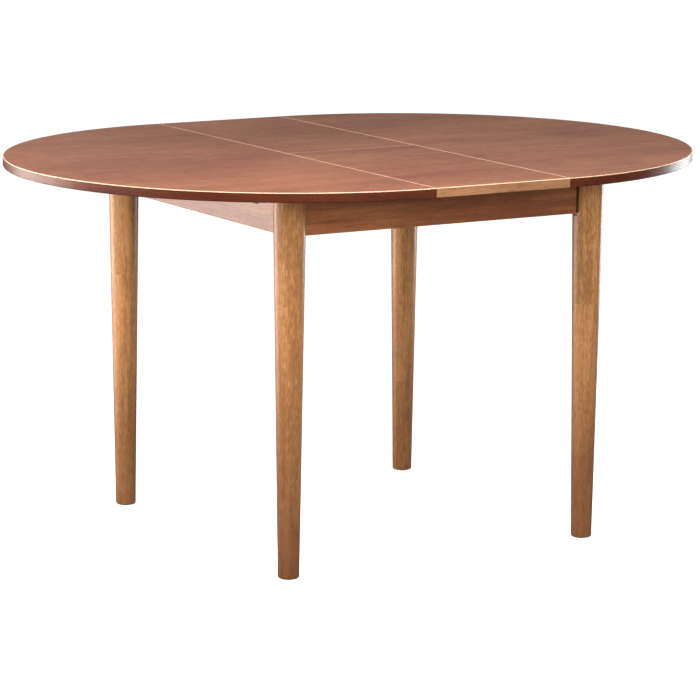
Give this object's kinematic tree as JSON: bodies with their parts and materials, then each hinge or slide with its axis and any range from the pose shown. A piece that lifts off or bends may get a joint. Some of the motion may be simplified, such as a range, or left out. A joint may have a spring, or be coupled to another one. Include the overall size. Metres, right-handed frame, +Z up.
{
  "type": "extending round dining table",
  "caption": "Round dining table on four tapered legs, drawn open, with two half discs on slides and a folding leaf between them.",
  "frame": {"origin": "on the floor, at the centre of the open table", "axes": "+X along the opening direction, +Y across it towards the rear, +Z up"},
  "size_m": [1.3906, 1.1, 0.75],
  "materials": {
    "leg_wood": "satin stained hardwood, straight grain",
    "rail_wood": "satin stained hardwood",
    "inner_wood": "plain unfinished hardwood",
    "top_veneer": "satin lacquered veneer",
    "dark_band": "satin lacquered dark edge band",
    "light_edge": "satin lacquered light edge strip",
    "zinc": "zinc plated",
    "black_steel": "black coated steel",
    "nylon": "natural nylon",
    "glide_plastic": "dark plastic",
    "brass": "turned brass"
  },
  "bodies": {
    "frame": {"leg_front_left": "leg_wood", "leg_front_right": "leg_wood", "leg_rear_left": "leg_wood", "leg_rear_right": "leg_wood", "rail_front": "rail_wood", "rail_rear": "rail_wood", "rail_left": "rail_wood", "rail_right": "rail_wood", "corner_block_front_left": "inner_wood", "corner_block_front_right": "inner_wood", "corner_block_rear_left": "inner_wood", "corner_block_rear_right": "inner_wood", "hanger_bolts": "zinc", "bolt_washers": "zinc", "bolt_nuts": "zinc", "block_screws": "zinc", "foot_glides": "glide_plastic", "bearer_left": "inner_wood", "bearer_right": "inner_wood", "bearer_dowels": "inner_wood", "channel_front_left": "black_steel", "channel_front_right": "black_steel", "channel_rear_left": "black_steel", "channel_rear_right": "black_steel", "slide_liners": "nylon", "channel_screws": "zinc", "pivot_bracket_left": "black_steel", "pivot_bracket_right": "black_steel", "bracket_screws": "zinc", "pivot_pins": "zinc", "pivot_rings": "zinc", "leaf_rest_left": "black_steel", "leaf_rest_right": "black_steel", "rest_screws": "zinc"},
    "top_left": {"top_left_panel": "top_veneer", "top_left_band": "dark_band", "runner_left_front": "black_steel", "runner_left_rear": "black_steel", "runner_left_screws": "zinc"},
    "top_right": {"top_right_panel": "top_veneer", "top_right_band": "dark_band", "runner_right_front": "black_steel", "runner_right_rear": "black_steel", "runner_right_screws": "zinc"},
    "leaf_front": {"leaf_front_panel": "top_veneer", "leaf_front_edge": "light_edge", "pivot_plate_left": "black_steel", "pivot_plate_right": "black_steel", "plate_screws": "zinc", "hinge_barrels_front": "brass"},
    "leaf_rear": {"leaf_rear_panel": "top_veneer", "leaf_rear_edge": "light_edge", "hinge_barrels_rear": "brass"}
  },
  "joints": [
    {"name": "left_slide", "type": "slide", "parent": "frame", "child": "top_left", "axis": [-1, 0, 0], "range_m": [0, 0.02]},
    {"name": "right_slide", "type": "slide", "parent": "frame", "child": "top_right", "axis": [1, 0, 0], "range_m": [0, 0.02]},
    {"name": "leaf_pivot", "type": "hinge", "parent": "frame", "child": "leaf_front", "pos_m": [0, -0.1375, 0.709], "axis": [1, 0, 0], "range_deg": [-90, 0]},
    {"name": "leaf_fold", "type": "hinge", "parent": "leaf_front", "child": "leaf_rear", "pos_m": [0, 0, 0.7504], "axis": [1, 0, 0], "range_deg": [0, 180]}
  ],
  "couplings": [
    {"joint": "leaf_pivot", "follows": "leaf_fold", "ratio": -0.5}
  ]
}
